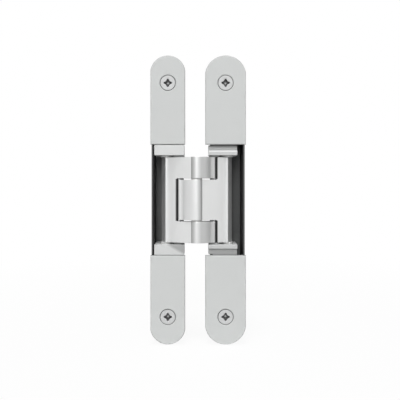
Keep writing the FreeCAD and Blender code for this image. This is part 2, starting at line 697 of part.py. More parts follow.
def carrier_block(inner, outer, deep_inner, top):
    """Stepped block from the face toward the arms, rounded at its rear outer corner."""
    outline = [
        (inner, CARRIER_FRONT_DEPTH),
        (outer, CARRIER_FRONT_DEPTH),
        (outer, CARRIER_BACK_DEPTH),
        (deep_inner, CARRIER_BACK_DEPTH),
        (deep_inner, CARRIER_SHOULDER_DEPTH),
        (inner, CARRIER_SHOULDER_DEPTH),
    ]
    return upright(outline, [0, 0, CARRIER_CORNER, 1.0, 0.5, 0.5], CARRIER_FACE, top)


def frame_carrier():
    """Upper carrier of the frame side, with a foot that slides for height."""
    inner = FRAME_CARRIER_INNER
    outer = FRAME_CARRIER_OUTER
    wall = carrier_block(inner, outer, FOOT_INNER, CARRIER_WALL_TOP)
    recess = block(inner - 1, outer + 1, 0, BAND_DEPTH, FRAME_BLOCK_TOP, CARRIER_BAND_TOP)
    wall = wall.cut(recess)
    front_edge = FreeCAD.Vector(0, y_of(CARRIER_FRONT_DEPTH), FRAME_BLOCK_TOP)
    wall = wall.makeChamfer(FRAME_BLOCK_BEVEL, edges_through(wall, front_edge))
    band_outline = box_outline(FOOT_INNER, outer, CARRIER_WALL_TOP - 2, CARRIER_BAND_TOP)
    band = inward(band_outline, [0] * 4, BAND_DEPTH, FOOT_BACK_DEPTH)
    foot_outline = box_outline(FOOT_INNER, outer, CARRIER_WALL_TOP - 2, CARRIER_FOOT_TOP)
    foot = inward(foot_outline, [0, 0, SLIDE_CORNER, SLIDE_CORNER], FOOT_FRONT_DEPTH, FOOT_BACK_DEPTH)
    body = joined([wall, band, foot, pivot_pad()])
    slot_half = HEIGHT_TRAVEL + CLAMP_RADIUS + SCREW_CLEARANCE
    slot_width = CLAMP_RADIUS + SCREW_CLEARANCE
    through = (FOOT_FRONT_DEPTH - 1, FOOT_BACK_DEPTH + 1)
    slot = slot_prism(CLAMP_X, HEIGHT_CLAMP_Z, slot_width, slot_half, *through)
    groove_half = GUIDE_WIDTH / 2 + GUIDE_FIT
    groove_front = FOOT_BACK_DEPTH - GUIDE_HEIGHT
    groove_x = (CLAMP_X - groove_half, CLAMP_X + groove_half)
    groove_depths = (groove_front, FOOT_BACK_DEPTH + 1)
    groove = block(*groove_x, *groove_depths, CARRIER_WALL_TOP, CARRIER_FOOT_TOP + 1)
    return body.cut(carrier_bores() + [slot, groove])


def door_carrier():
    """Upper carrier of the door side, screwed down on the ledge; built mirrored."""
    outer = DOOR_CARRIER_OUTER
    wall = carrier_block(DOOR_CARRIER_INNER, outer, -outer, DOOR_BLOCK_TOP)
    foot_outline = box_outline(-outer, outer, DOOR_BLOCK_TOP - 2, CARRIER_FOOT_TOP)
    foot = inward(foot_outline, [0, 0, SLIDE_CORNER, SLIDE_CORNER], BAND_DEPTH, LEDGE_DEPTH)
    body = joined([wall, foot, pivot_pad()])
    hole = bore(CLAMP_RADIUS + SCREW_CLEARANCE, 0, DOOR_CLAMP_Z, 0, LEDGE_DEPTH + 1)
    sink = bore(CLAMP_HEAD_RADIUS + SCREW_CLEARANCE, 0, DOOR_CLAMP_Z, 0, FOOT_FRONT_DEPTH)
    return to_door_side(body.cut(carrier_bores() + [hole, sink]))


def slot_prism(x, z, half_width, half_length, depth0, depth1):
    """Slot with round ends, long along Z."""
    corners = box_outline(x - half_width, x + half_width, z - half_length, z + half_length)
    return inward(corners, [half_width - 0.001] * 4, depth0, depth1)


def side_slide():
    """Upper cross slide: carries the foot, and shifts sideways on the ledge."""
    low = CARRIER_WALL_TOP + HEIGHT_TRAVEL + TRAVEL_CLEARANCE
    step_z = SLIDE_STEP_Z
    left = FOOT_INNER
    right = FRAME_CARRIER_OUTER
    front = FOOT_BACK_DEPTH
    back = LEDGE_DEPTH
    base_outline = box_outline(left, right, low, SLIDE_BLOCK_TOP)
    base = inward(base_outline, [0, 0, SLIDE_CORNER, SLIDE_CORNER], front, back)
    step_outline = box_outline(left, right, step_z, SLIDE_BLOCK_TOP)
    step = inward(step_outline, [0, 0, SLIDE_CORNER, SLIDE_CORNER], FOOT_FRONT_DEPTH, back)
    half = GUIDE_WIDTH / 2
    rail_front = front - GUIDE_HEIGHT + GUIDE_FIT
    rail = block(CLAMP_X - half, CLAMP_X + half, rail_front, front + 1, low, step_z)
    body = joined([base, step, rail])
    thread = bore(CLAMP_RADIUS + PRESS_FIT, CLAMP_X, HEIGHT_CLAMP_Z, FOOT_FRONT_DEPTH, back + 1)
    slot_half = SIDE_TRAVEL + CLAMP_RADIUS + SCREW_CLEARANCE
    slot_width = CLAMP_RADIUS + SCREW_CLEARANCE
    z0 = SIDE_CLAMP_Z - slot_width
    z1 = SIDE_CLAMP_Z + slot_width
    slot_outline = box_outline(CLAMP_X - slot_half, CLAMP_X + slot_half, z0, z1)
    slot = inward(slot_outline, [slot_width - 0.001] * 4, FOOT_FRONT_DEPTH - 1, back + 1)
    key_half = KEY_WIDTH / 2 + GUIDE_FIT
    key = block(left - 1, right + 1, back - GUIDE_HEIGHT, back + 1, KEY_Z - key_half, KEY_Z + key_half)
    return body.cut([thread, slot, key])


def frame_housing():
    """Frame casting with the keys that guide the side slides."""
    key_front = LEDGE_DEPTH - GUIDE_HEIGHT + GUIDE_FIT
    key_z0 = KEY_Z - KEY_WIDTH / 2
    key_x = (-FRAME_INSIDE - 0.5, FRAME_INSIDE + 0.5)
    key = block(*key_x, key_front, LEDGE_DEPTH + 1, key_z0, key_z0 + KEY_WIDTH)
    casting = housing(FRAME_LEAF_WIDTH / 2, FRAME_OPEN_X, CLAMP_X, SIDE_CLAMP_Z)
    return joined([casting, key, to_lower_end(key)])


def clamp_screw(x, z, length):
    """Low round-head screw with a hexagon socket, head on the foot's front."""
    head_top = FOOT_FRONT_DEPTH - CLAMP_HEAD_HEIGHT
    head = bore(CLAMP_HEAD_RADIUS, x, z, head_top, FOOT_FRONT_DEPTH)
    seam = FreeCAD.Vector(x + CLAMP_HEAD_RADIUS, y_of(head_top), z)
    rim = [edge for edge in edges_through(head, seam) if edge.Closed]
    head = head.makeChamfer(CLAMP_HEAD_BEVEL, rim)
    shank = bore(CLAMP_RADIUS, x, z, FOOT_FRONT_DEPTH - 0.5, FOOT_FRONT_DEPTH + length)
    corners = []
    for step in range(6):
        angle = math.radians(60 * step)
        reach = CLAMP_SOCKET_ACROSS / math.sqrt(3)
        corners.append((x + reach * math.cos(angle), z + reach * math.sin(angle)))
    socket = inward(corners, [0] * 6, head_top - 1, head_top + CLAMP_SOCKET_DEPTH)
    return joined([head, shank]).cut(socket)


def both_ends(shape):
    """One node with the same piece at the upper and the lower end."""
    return Part.Compound([shape, to_lower_end(shape)])


def save_pair(name, shape):
    """Two nodes, one for each end."""
    save(name + "_upper", shape)
    save(name + "_lower", to_lower_end(shape))


def save_frame_side():
    """Everything that belongs to the frame leaf."""
    save("frame_body", frame_housing())
    save_pair("frame_cover", cover(FRAME_LEAF_WIDTH / 2))
    save("frame_screws", both_ends(fixing_screw()))
    save("side_clamp_screws", both_ends(clamp_screw(CLAMP_X, SIDE_CLAMP_Z, CLAMP_LONG)))
    save_pair("side_slide", side_slide())
    save("height_clamp_screws", both_ends(clamp_screw(CLAMP_X, HEIGHT_CLAMP_Z, CLAMP_SHORT)))
    save_pair("frame_carrier", frame_carrier())
    save("frame_pivot_pin", pin(LINK_PIN_RADIUS, x_of(PIVOT_REACH), PIVOT_DEPTH, PIN_END))


def save_linkage():
    """Both arms with their pins, bushes and rollers."""
    slide_pin = pin(LINK_PIN_RADIUS, x_of(SLIDE_REACH), SLIDE_DEPTH, PIN_END)
    save("frame_arm", frame_arm())
    save("frame_arm_pivot_bushes", to_door_side(pivot_bushes(ARM_HALF_HEIGHT)))
    save("frame_arm_slide_pin", to_door_side(slide_pin))
    save("frame_arm_rollers", to_door_side(slide_rollers()))
    save("centre_pin", pin(CENTRE_PIN_RADIUS, x_of(0.0), CENTRE_DEPTH, ARM_HALF_HEIGHT - 0.4))
    save("centre_bushes", centre_bushes())
    save("door_arm", door_arm())
    save("door_arm_pivot_bushes", pivot_bushes(TONGUE_HALF))
    save("door_arm_slide_pin", slide_pin)
    save("door_arm_rollers", slide_rollers())


def save_door_side():
    """Everything that belongs to the door leaf, built mirrored."""
    half_width = DOOR_LEAF_WIDTH / 2
    save("door_body", to_door_side(housing(half_width, DOOR_OPEN_X, 0.0, DOOR_CLAMP_Z)))
    save_pair("door_cover", to_door_side(cover(half_width)))
    save("door_screws", to_door_side(both_ends(fixing_screw())))
    save("door_carrier_screws", to_door_side(both_ends(clamp_screw(0.0, DOOR_CLAMP_Z, CLAMP_LONG))))
    save_pair("door_carrier", door_carrier())
    door_pin = pin(LINK_PIN_RADIUS, x_of(PIVOT_REACH), PIVOT_DEPTH, PIN_END)
    save("door_pivot_pin", to_door_side(door_pin))


save_frame_side()
save_linkage()
save_door_side()
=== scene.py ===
import json
import math

import bmesh
import bpy
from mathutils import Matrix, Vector
from mathutils.bvhtree import BVHTree


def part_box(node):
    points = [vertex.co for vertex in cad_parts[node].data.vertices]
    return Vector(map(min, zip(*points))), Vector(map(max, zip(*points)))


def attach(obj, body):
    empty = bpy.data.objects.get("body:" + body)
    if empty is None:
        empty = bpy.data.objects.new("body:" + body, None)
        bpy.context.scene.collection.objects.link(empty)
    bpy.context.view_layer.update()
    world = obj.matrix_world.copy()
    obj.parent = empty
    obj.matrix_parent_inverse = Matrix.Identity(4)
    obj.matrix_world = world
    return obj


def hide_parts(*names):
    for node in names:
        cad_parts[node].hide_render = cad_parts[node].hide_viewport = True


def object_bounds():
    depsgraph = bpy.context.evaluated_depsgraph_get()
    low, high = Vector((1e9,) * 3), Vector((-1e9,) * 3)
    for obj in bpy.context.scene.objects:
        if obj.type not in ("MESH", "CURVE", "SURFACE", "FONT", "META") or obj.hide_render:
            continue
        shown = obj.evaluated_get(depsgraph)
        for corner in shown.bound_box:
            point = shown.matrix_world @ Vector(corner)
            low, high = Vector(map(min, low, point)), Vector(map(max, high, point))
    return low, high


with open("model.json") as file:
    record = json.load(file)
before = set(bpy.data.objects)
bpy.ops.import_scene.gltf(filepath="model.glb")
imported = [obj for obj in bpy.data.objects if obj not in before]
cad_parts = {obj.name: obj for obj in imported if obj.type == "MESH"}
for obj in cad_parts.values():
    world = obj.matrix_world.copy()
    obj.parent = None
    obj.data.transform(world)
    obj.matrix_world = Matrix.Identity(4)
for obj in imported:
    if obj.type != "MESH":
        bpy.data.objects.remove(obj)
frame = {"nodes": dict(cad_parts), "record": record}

cad_low, cad_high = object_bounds()

MM = 0.001
SEAT_DEPTH = -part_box("frame_cover_upper")[0].y
LEAF_SPACING = 40 * MM
MIRROR_X = (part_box("frame_body")[0].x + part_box("frame_body")[1].x) / 2 - LEAF_SPACING / 2
SCREW_HEIGHT = 81 * MM
COVER_INNER_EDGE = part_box("frame_cover_upper")[0].z
LEAF_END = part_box("frame_cover_upper")[1].z
COVER_THICKNESS = 3 * MM


# Wiring of node trees

class Value:
    """An output in a node tree; arithmetic on it adds Math nodes."""

    def __init__(self, wiring, socket):
        self.wiring = wiring
        self.socket = socket

    def math(self, operation, *inputs):
        values = dict(enumerate(inputs))
        return self.wiring.add("ShaderNodeMath", {"operation": operation}, values)

    def __add__(self, other):
        return self.math("ADD", self, other)

    def __radd__(self, other):
        return self.math("ADD", other, self)

    def __sub__(self, other):
        return self.math("SUBTRACT", self, other)

    def __rsub__(self, other):
        return self.math("SUBTRACT", other, self)

    def __mul__(self, other):
        return self.math("MULTIPLY", self, other)

    def __rmul__(self, other):
        return self.math("MULTIPLY", other, self)

    def __truediv__(self, other):
        return self.math("DIVIDE", self, other)

    def __rtruediv__(self, other):
        return self.math("DIVIDE", other, self)

    def __pow__(self, other):
        return self.math("POWER", self, other)

    def __abs__(self):
        return self.math("ABSOLUTE", self)

    def above(self, floor):
        return self.math("MAXIMUM", self, floor)

    def below(self, ceiling):
        return self.math("MINIMUM", self, ceiling)

    def part(self):
        return self.math("FRACT", self)


class Wiring:
    """A node tree that is being built."""

    def __init__(self, tree):
        self.tree = tree

    def add(self, kind, settings=None, values=None, output=0):
        node = self.tree.nodes.new(kind)
        for name, setting in (settings or {}).items():
            setattr(node, name, setting)
        for key, value in (values or {}).items():
            if isinstance(value, Value):
                self.tree.links.new(value.socket, node.inputs[key])
            else:
                node.inputs[key].default_value = value
        if len(node.outputs) == 0:
            return None
        return Value(self, node.outputs[output])


def largest(first, *others):
    """The largest of these at each place."""
    for other in others:
        first = first.math("MAXIMUM", first, other)
    return first


# Painted shade and painted shadows: where each lies, from where to where it fades, and the light
# it takes

PIVOT_REACH = 12.5 * MM
PIVOT_Y = -4 * MM
VALLEY_REACH = 3.8 * MM
MIDDLE_BAND = 14.6 * MM
FRAME_WALL_X = 12.05 * MM
DOOR_WALL_X = -50.05 * MM
STEP_Z = 34.3 * MM
# Slanting line above which the arms' painted shadow lies on the door's lower block
ARM_SHADOW_X = -39.9 * MM
ARM_SHADOW_Z = -31.1 * MM
ARM_SHADOW_SLOPE = 0.59
ARM_SHADOW_BLUR = 1.1 * MM
LINE = 0.1 * MM
# Reach of the painted shade in the gap round each pivot
PIVOT_SHADE_REACH = (3.3 * MM, 3.9 * MM)
TONGUE_TIP = (14.6 * MM, 14.8 * MM)
TONGUE_FRONT = (11.7 * MM, 13.6 * MM)
SPINE_SIDE = (0.4 * MM, 3.4 * MM)
SLOPE_TIP = (13.5 * MM, 14.0 * MM)
SLOPE_FRONT = (0.2 * MM, 3.2 * MM)
SINK_BOTTOM = (5.44 * MM, 5.54 * MM)
COVER_EDGE_RADIUS = 6.0 * MM
COVER_EDGE_DEPTH = (0.06 * MM, 0.3 * MM)
RECESS_BOTTOM = (2.5 * MM, 2.8 * MM)
RECESS_TOP = (0.30 * MM, 0.55 * MM)
RECESS_REACH = (3.3 * MM, 3.5 * MM)
RECESS_MIDDLE = (0.4 * MM, 0.8 * MM)
HEAD_RIM = (4.8 * MM, 5.15 * MM)
WALL_FACE = (0.12 * MM, 0.2 * MM)
WALL_RIM = (0.15 * MM, 0.25 * MM)
HALF_STEP = (0.0, 1.0 * MM)
POCKET_MIDDLE = (24 * MM, 30 * MM)
COVER_SHADOW = (0.3 * MM, 2.9 * MM)
STEP_LINE = (0.25 * MM, 0.6 * MM)
# How much light each painted shade or painted shadow takes from the colour
DARKNESS = {
    # Painted shade in the gaps round the pivots
    "pivot shade": 0.92,
    "tongue tip": 0.75,
    "valley": 0.45,
    "every tongue": 0.05,
    "outer tongues": 0.23,
    "countersink": 0.6,
    "cover edge": 0.35,
    "head rim": 0.5,
    "recess": 0.8,
    "wall face": 0.93,
    "wall rim": 0.71,
    "frame pocket": 0.27,
    "frame pocket middle": 0.2,
    "under cover": 0.81,
    "block step": 0.6,
    "frame block": 0.13,
    # Arms' painted shadow on the door's lower block
    "run": 0.4,
}


def split_place(wiring, place):
    """X, Y and Z of a position."""
    split = wiring.add("ShaderNodeSeparateXYZ", {}, {0: place})
    return [Value(wiring, output) for output in split.socket.node.outputs]


def within(distance, near, far):
    """One closer than near, none beyond far, and a soft step between them."""
    return ((far - distance) / (far - near)).above(0.0).below(1.0)


def arm_painted_shade(wiring, place):
    """Painted shade in the gaps round the pivots and on the tongue ends, a painted dark line where
    crown and spine meet, and painted shade on the tongues' sloping sides, deeper on the outer
    tongues.
    """
    x, y, z = split_place(wiring, place)
    outward = abs(z) - MIDDLE_BAND
    towards = (x - MIRROR_X) * outward.math("SIGN", outward)
    pivot = ((abs(towards) - PIVOT_REACH) ** 2.0 + (y - PIVOT_Y) ** 2.0) ** 0.5
    # Painted shade in the gap round each pivot
    gap_shade = within(pivot, *PIVOT_SHADE_REACH) * DARKNESS["pivot shade"]
    # Painted shade on the tongues' rounded ends
    tip = within(towards, *TONGUE_TIP) - within(towards, *TONGUE_FRONT)
    spine_side = 1.0 - within(0.0 - towards, *SPINE_SIDE)
    # Painted dark line in the crease where crown and spine meet
    valley = spine_side * within(0.0 - towards, VALLEY_REACH, VALLEY_REACH + LINE)
    # Painted shade on the tongues' sloping sides, deeper on the outer tongues
    slope = within(towards, *SLOPE_TIP) - within(towards, *SLOPE_FRONT)
    outer = within(0.0 - outward, 0.0, LINE)
    darkening = slope * (DARKNESS["every tongue"] + outer * DARKNESS["outer tongues"])
    return largest(gap_shade, darkening, valley * DARKNESS["valley"], tip * DARKNESS["tongue tip"])


def from_screw(x, z):
    """Distance from the nearest screw's middle line."""
    side = abs(abs(x + LEAF_SPACING / 2) - LEAF_SPACING / 2)
    return (side ** 2.0 + (abs(z) - SCREW_HEIGHT) ** 2.0) ** 0.5


def sink_shade(wiring, place):
    """Painted shadow in the bottom of the countersink round the screw head, and painted shade
    along the plate's rounded edge and sides.
    """
    x, y, z = split_place(wiring, place)
    radius = from_screw(x, z)
    # Painted shadow round the screw head, in the bottom of the countersink
    sink = within(radius, *SINK_BOTTOM) * DARKNESS["countersink"]
    # Painted shade on the plate's rounded edge and sides
    beyond_sink = within(COVER_EDGE_RADIUS - radius, 0.0, LINE)
    edge = beyond_sink * (1.0 - within(y + SEAT_DEPTH, *COVER_EDGE_DEPTH))
    return largest(sink, edge * DARKNESS["cover edge"])


def recess_shade(wiring, place):
    """Painted shade on the walls of the cross recess, left off its bottom and middle so these stay
    brighter, and a painted shadow line round the head's rim.
    """
    x, y, z = split_place(wiring, place)
    radius = from_screw(x, z)
    depth = y + SEAT_DEPTH
    # Painted shade on the recess walls
    deep = within(depth, *RECESS_BOTTOM) - within(depth, *RECESS_TOP)
    walls = within(radius, *RECESS_REACH) - within(radius, *RECESS_MIDDLE)
    # Painted shadow line round the head's rim
    rim = 1.0 - within(radius, *HEAD_RIM)
    return largest(rim * DARKNESS["head rim"], deep * walls * DARKNESS["recess"])


def wall_shade(wiring, place):
    """Painted shade on the castings' outer walls, deepest on their inner faces, and lighter
    painted shade over all of the frame's casting, a little deeper in its middle.
    """
    x, _, z = split_place(wiring, place)
    outside = largest(x - FRAME_WALL_X, DOOR_WALL_X - x)
    # Painted shade on the walls' inner faces
    inner_face = within(abs(outside), *WALL_FACE) * DARKNESS["wall face"]
    rim = (1.0 - within(outside, *WALL_RIM)) * DARKNESS["wall rim"]
    # Painted shade over the frame's casting, deeper in the middle of its pocket
    frame_side = 1.0 - within(x - MIRROR_X, *HALF_STEP)
    middle = within(abs(z), *POCKET_MIDDLE) * DARKNESS["frame pocket middle"]
    return largest(inner_face, rim, frame_side * (DARKNESS["frame pocket"] + middle))


def block_painted_shade(wiring, place):
    """Painted shade on the blocks: a painted shadow under the frame's upper cover, a painted dark
    line on the frame's lower step, the frame's blocks a little darker all over, and the arms'
    painted shadow slanting across the door's lower block.
    """
    x, _, z = split_place(wiring, place)
    frame_side = within(MIRROR_X - x, *HALF_STEP)
    # Painted shadow under the frame's upper cover
    under_cover = within(COVER_INNER_EDGE - z, *COVER_SHADOW) * DARKNESS["under cover"]
    # Painted dark line along the frame's lower step
    step = within(abs(z + STEP_Z), *STEP_LINE) * DARKNESS["block step"]
    # The frame's blocks are a little darker all over
    darkening = largest(under_cover, step, DARKNESS["frame block"])
    # Painted shadow of the arms, slanting across the door's lower block
    arm_shadow_edge = ARM_SHADOW_Z - (x - ARM_SHADOW_X) * ARM_SHADOW_SLOPE - z
    lower = within(z, *HALF_STEP)
    run = within(arm_shadow_edge, -ARM_SHADOW_BLUR, ARM_SHADOW_BLUR) * lower * DARKNESS["run"]
    return frame_side * darkening + (1.0 - frame_side) * run


# Finishes

EVEN = (1, 1, 1)
DRAWN_ALONG_Z = (1, 1, 0.06)
GROUND_ROUND = (0.1, 0.1, 1)
CLOUD_SCALE = 90.0
FINE_SHARE = 0.7
CLOUD_SHARE = 0.3
FINE_GLOSS = 0.06
CLOUD_GLOSS = 0.04
RELIEF_DEPTH = 0.02 * MM


def metal(
    name, colour, roughness, grain, stretch=EVEN, bump=0.2, metallic=1.0, shade=0.06, painted_shade=None
):
    """A satin or ground metal: fine grain in colour, gloss and relief, drawn out by stretch, and
    painted shade where a mask is given.
    """
    material = bpy.data.materials.new(name)
    material.use_nodes = True
    wiring = Wiring(material.node_tree)
    wiring.tree.nodes.clear()
    place = wiring.add("ShaderNodeTexCoord", output=3)
    drawn = wiring.add("ShaderNodeMapping", {}, {"Vector": place, "Scale": stretch})
    fine = wiring.add("ShaderNodeTexNoise", {}, {"Vector": drawn, "Scale": grain, "Detail": 3.0})
    cloud = wiring.add(
        "ShaderNodeTexNoise",
        {},
        {"Vector": place, "Scale": CLOUD_SCALE, "Detail": 2.0},
    )
    tone = 1.0 - shade + (fine * FINE_SHARE + cloud * CLOUD_SHARE) * (2 * shade)
    # Painted shade: the mask darkens the colour where shade falls
    if painted_shade is not None:
        tone = tone * (1.0 - painted_shade(wiring, place))
    tinted = wiring.add(
        "ShaderNodeVectorMath",
        {"operation": "SCALE"},
        {0: colour, "Scale": tone},
    )
    relief = wiring.add(
        "ShaderNodeBump",
        {},
        {"Height": fine, "Strength": bump, "Distance": RELIEF_DEPTH},
    )
    glossiest = roughness - (FINE_GLOSS + CLOUD_GLOSS) / 2
    gloss = glossiest + fine * FINE_GLOSS + cloud * CLOUD_GLOSS
    shader = wiring.add(
        "ShaderNodeBsdfPrincipled",
        {},
        {"Base Color": tinted, "Metallic": metallic, "Roughness": gloss, "Normal": relief},
    )
    wiring.add("ShaderNodeOutputMaterial", {}, {"Surface": shader})
    return material


LOOKS = {
    "cover_satin": {
        "colour": (0.64, 0.653, 0.647),
        "roughness": 0.80,
        "grain": 2600.0,
        "bump": 0.25,
        "metallic": 0.1,
        "shade": 0.03,
        "painted_shade": sink_shade,
    },
    "arm_satin": {
        "colour": (0.735, 0.74, 0.737),
        "roughness": 0.39,
        "grain": 2200.0,
        "stretch": DRAWN_ALONG_Z,
        "metallic": 0.6,
        "shade": 0.03,
        "painted_shade": arm_painted_shade,
    },
    "block_satin": {
        "colour": (0.62, 0.628, 0.625),
        "roughness": 0.50,
        "grain": 2400.0,
        "bump": 0.3,
        "metallic": 0.3,
        "shade": 0.03,
        "painted_shade": block_painted_shade,
    },
    "dark_casting": {
        "colour": (0.178, 0.185, 0.184),
        "roughness": 0.50,
        "grain": 1500.0,
        "bump": 0.6,
        "metallic": 0.0,
        "shade": 0.15,
        "painted_shade": wall_shade,
    },
    "screw_zinc": {
        "colour": (0.60, 0.605, 0.605),
        "roughness": 0.60,
        "grain": 2600.0,
        "bump": 0.15,
        "metallic": 0.2,
        "shade": 0.03,
        "painted_shade": recess_shade,
    },
    "clamp_steel": {"colour": (0.52, 0.52, 0.54), "roughness": 0.34, "grain": 2600.0},
    "pin_steel": {
        "colour": (0.60, 0.60, 0.61),
        "roughness": 0.26,
        "grain": 3000.0,
        "stretch": GROUND_ROUND,
    },
    "bush_polymer": {
        "colour": (0.72, 0.72, 0.71),
        "roughness": 0.5,
        "grain": 1800.0,
        "bump": 0.4,
        "metallic": 0.0,
        "shade": 0.05,
    },
}
FINISHES = {name: metal(name, **look) for name, look in LOOKS.items()}


# Pieces

SAME_POINT = 0.002 * MM
FLAT_ANGLE = math.radians(1)
SHARP_ANGLE = math.radians(32)
STRAY_SHARE = 0.55


def piece_from(name, mesh, body, slot, *stands_for):
    """Adds a finished piece to the object, on its body, in place of CAD nodes."""
    mesh.materials.clear()
    mesh.materials.append(FINISHES[slot])
    piece = bpy.data.objects.new(name, mesh)
    bpy.context.scene.collection.objects.link(piece)
    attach(piece, body)
    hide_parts(*stands_for)
    return piece


def keep_faces_flat(piece):
    """Normals by face size, so that broad faces stay flat beside their rounded edges."""
    normals = piece.modifiers.new("flat faces", "WEIGHTED_NORMAL")
    normals.keep_sharp = False


def plain_mesh(holder):
    """Mesh of a working object as its modifiers leave it; the object is removed."""
    bpy.context.view_layer.update()
    reading = bpy.context.evaluated_depsgraph_get()
    mesh = bpy.data.meshes.new_from_object(holder.evaluated_get(reading))
    bpy.data.objects.remove(holder)
    return mesh


def rounded_edges(name, mesh, edge):
    """Copy of a mesh with its sharp edges rounded, and points that strayed put back."""
    holder = bpy.data.objects.new(name, mesh)
    bpy.context.scene.collection.objects.link(holder)
    rounding = holder.modifiers.new("edge rounding", "BEVEL")
    rounding.width = edge
    rounding.segments = 2
    rounding.limit_method = "ANGLE"
    rounding.angle_limit = SHARP_ANGLE
    rounding.use_clamp_overlap = False
    rounding.miter_outer = "MITER_ARC"
    rounded = plain_mesh(holder)
    corners = [vert.co for vert in mesh.vertices]
    surface = BVHTree.FromPolygons(corners, [face.vertices for face in mesh.polygons])
    for vert in rounded.vertices:
        place, _, _, distance = surface.find_nearest(vert.co)
        if distance > edge * STRAY_SHARE:
            vert.co = place
    return rounded


def eased(node, body, slot, edge):
    """Copy of a CAD node with its sharp edges eased, standing for it."""
    mesh = frame["nodes"][node].data.copy()
    shape = bmesh.new()
    shape.from_mesh(mesh)
    bmesh.ops.remove_doubles(shape, verts=shape.verts, dist=SAME_POINT)
    bmesh.ops.dissolve_limit(
        shape, angle_limit=FLAT_ANGLE, verts=shape.verts, edges=shape.edges
    )
    for face in shape.faces:
        face.smooth = True
    shape.to_mesh(mesh)
    shape.free()
    rounded = rounded_edges(node, mesh, edge)
    keep_faces_flat(piece_from(node + "_eased", rounded, body, slot, node))


# Cover plates, each a closed section led round the screw hole and the outline

COVER_STEPS = 160
CORNER_REACH = 1.4143
END_RADIUS_EXTRA = 0.2 * MM
SCREW_HOLE_RADIUS = 3.3 * MM
SINK_DEPTH = 2.7 * MM
SINK_RADIUS = 5.88 * MM
SINK_LIP = (
    (-0.50 * MM, 0.70 * MM),
    (-0.44 * MM, 0.42 * MM),
    (-0.38 * MM, 0.32 * MM),
    (-0.02 * MM, 0.03 * MM),
    (0.06 * MM, 0.0),
    (0.20 * MM, 0.0),
)
COVER_BEVEL = 0.5 * MM
BEVEL_MIDDLE = COVER_BEVEL * 0.45
BACK_BEVEL = 0.1 * MM
RIM_PROFILE = (
    (COVER_BEVEL + 0.2 * MM, 0.0),
    (COVER_BEVEL, 0.0),
    (BEVEL_MIDDLE, COVER_BEVEL - BEVEL_MIDDLE * 1.35),
    (0.03 * MM, COVER_BEVEL * 0.85),
    (0.0, COVER_BEVEL * 1.2),
    (0.0, COVER_THICKNESS - BACK_BEVEL),
    (BACK_BEVEL, COVER_THICKNESS),
)


def cover_rings(half_width, end):
    """Rings of the cover's section, from the screw hole round the outside and back."""
    radius = half_width + END_RADIUS_EXTRA
    centre = LEAF_END - radius

    def on_leaf(step, inset):
        """Point on the outline, round above and square below, where a step meets each corner."""
        angle = 2 * math.pi * step / COVER_STEPS
        across = math.cos(angle)
        up = math.sin(angle)
        if up >= 0:
            x = max(-half_width + inset, min(half_width - inset, (radius - inset) * across))
            return x, centre + (radius - inset) * up
        side = math.copysign(min(1.0, abs(across) * CORNER_REACH), across)
        low = -min(1.0, -up * CORNER_REACH)
        return (half_width - inset) * side, centre + (centre - COVER_INNER_EDGE - inset) * low

    def on_hole(step, reach):
        """Point on a circle round the screw."""
        angle = 2 * math.pi * step / COVER_STEPS
        return reach * math.cos(angle), SCREW_HEIGHT + reach * math.sin(angle)

    sections = [
        (on_hole, SCREW_HOLE_RADIUS, COVER_THICKNESS),
        (on_hole, SCREW_HOLE_RADIUS, SINK_DEPTH),
        *((on_hole, SINK_RADIUS + beyond, depth) for beyond, depth in SINK_LIP),
        *((on_leaf, inset, depth) for inset, depth in RIM_PROFILE),
    ]
    return [
        [(x, depth, z * end) for x, z in (line(step, size) for step in range(COVER_STEPS))]
        for line, size, depth in sections
    ]


def closed_mesh(name, rings, across):
    """Mesh round a closed section: each ring joined to the next and the last to the first."""
    count = len(rings[0])
    points = [(x + across, depth - SEAT_DEPTH, z) for ring in rings for x, depth, z in ring]
    faces = []
    for row in range(len(rings)):
        here = row * count
        after = (row + 1) % len(rings) * count
        for step in range(count):
            turn = (step + 1) % count
            faces.append((here + step, here + turn, after + turn, after + step))
    mesh = bpy.data.meshes.new(name)
    mesh.from_pydata(points, [], faces)
    shape = bmesh.new()
    shape.from_mesh(mesh)
    bmesh.ops.recalc_face_normals(shape, faces=shape.faces)
    shape.to_mesh(mesh)
    shape.free()
    mesh.shade_smooth()
    return mesh


def cover(name, body, half_width, across, end):
    """Cover plate with an eased edge and a countersink."""
    mesh = closed_mesh(name, cover_rings(half_width, end), across)
    keep_faces_flat(piece_from(name + "_plate", mesh, body, "cover_satin", name))


for side, half_width, across in (("frame", 14 * MM, 0.0), ("door", 12 * MM, -LEAF_SPACING)):
    cover(side + "_cover_upper", side, half_width, across, 1)
    cover(side + "_cover_lower", side, half_width, across, -1)


# Fixing screws, from one rule for the radius at each depth

SCREW_SIZES = {
    "Head radius": 5.2 * MM,
    "Head face": 0.2 * MM,
    "Neck radius": 2.3 * MM,
    "Thread radius": 3.0 * MM,
    "Root radius": 2.05 * MM,
    "Pitch": 2.6 * MM,
    "Thread start": 13 * MM,
    "Length": 50 * MM,
    "Tip": 7 * MM,
    "Recess reach": 3.0 * MM,
    "Recess waist": 1.9 * MM,
    "Recess depth": 2.3 * MM,
    "Height": SCREW_HEIGHT,
    "Across": 0.0,
}
SHAFT_ROWS = 200
SHAFT_POINTS = 37
TOP_ROWS = 44
TOP_POINTS = 73
THREAD_SHARPNESS = 3.6
TIP_ROUNDING = 0.8
TIP_FLAT = 0.02
CROSS_NARROWING = 3.0
RECESS_WALL_SHARE = 0.35
TOP_HEIGHT_SHARE = 0.6
TOP_RIM = 0.06 * MM
TOP_RIM_START = 0.96
TOP_RIM_DROP = 0.05 * MM
SEAM = 0.08 * MM


